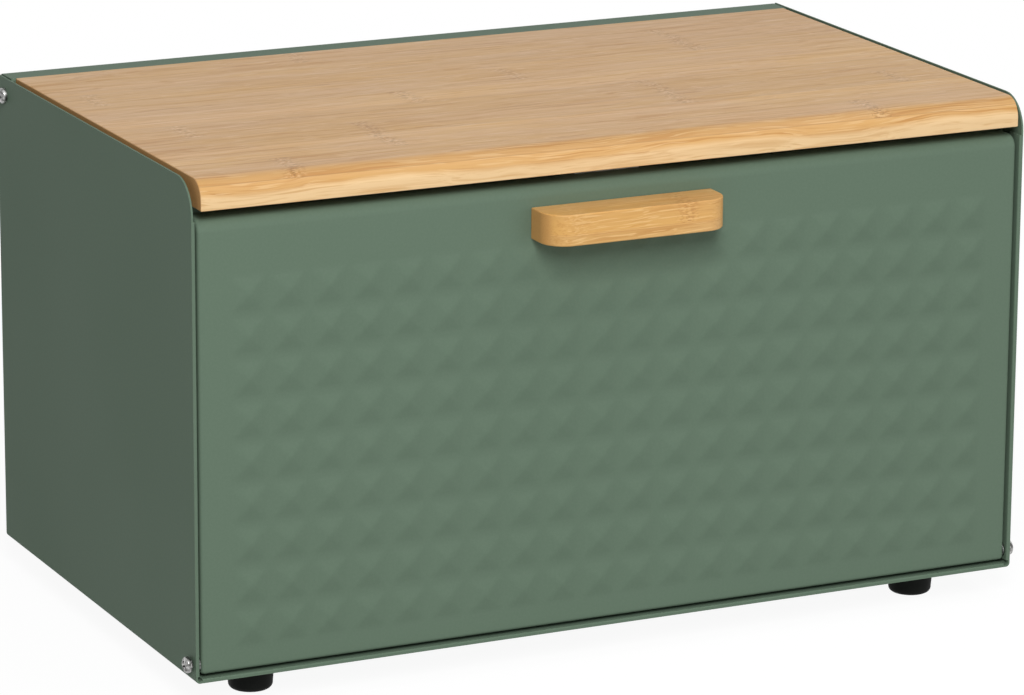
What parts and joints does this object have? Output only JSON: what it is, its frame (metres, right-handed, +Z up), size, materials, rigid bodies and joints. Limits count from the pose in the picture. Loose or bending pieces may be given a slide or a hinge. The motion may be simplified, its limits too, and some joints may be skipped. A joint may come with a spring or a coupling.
{
  "type": "bread box",
  "caption": "Folded steel bread box with a bamboo top board and a drop-down front flap with a pressed pyramid pattern and a bamboo grip.",
  "frame": {"origin": "on the floor under the feet, in the middle of the whole object's box, with the flap closed", "axes": "+X to the right seen from the front, +Y to the back, +Z up; the flap and its grip face -Y"},
  "size_m": [0.367, 0.2272, 0.2105],
  "materials": {
    "green_powder_coat": "satin sage-green powder coat",
    "bamboo": "oiled strip bamboo",
    "zinc_steel": "bright zinc plating",
    "black_rubber": "matt moulded rubber",
    "bumper_rubber": "soft self-adhesive pad",
    "catch_plastic": "moulded off-white plastic",
    "ferrite": "sintered ferrite",
    "pole_steel": "plain rolled steel"
  },
  "bodies": {
    "cabinet": {"body_shell": "green_powder_coat", "back_panel": "green_powder_coat", "left_board_rail": "green_powder_coat", "right_board_rail": "green_powder_coat", "top_board": "bamboo", "board_screws": "zinc_steel", "rear_screw_left": "zinc_steel", "rear_screw_right": "zinc_steel", "rear_nut_left": "zinc_steel", "rear_nut_right": "zinc_steel", "catch_screws": "zinc_steel", "foot_front_left": "black_rubber", "foot_front_right": "black_rubber", "foot_rear_left": "black_rubber", "foot_rear_right": "black_rubber", "left_bumper": "bumper_rubber", "right_bumper": "bumper_rubber", "catch_housing": "catch_plastic", "catch_magnet": "ferrite", "catch_poles": "pole_steel"},
    "door": {"door_panel": "green_powder_coat", "grip": "bamboo", "grip_screws": "zinc_steel", "grip_washers": "zinc_steel", "pivot_screw_left": "zinc_steel", "pivot_screw_right": "zinc_steel", "pivot_washer_left": "zinc_steel", "pivot_washer_right": "zinc_steel", "pivot_nut_left": "zinc_steel", "pivot_nut_right": "zinc_steel"}
  },
  "joints": [
    {"name": "door_hinge", "type": "hinge", "parent": "cabinet", "child": "door", "pos_m": [0, -0.0916, 0.0199], "axis": [1, 0, 0], "range_deg": [0, 89.1]}
  ]
}
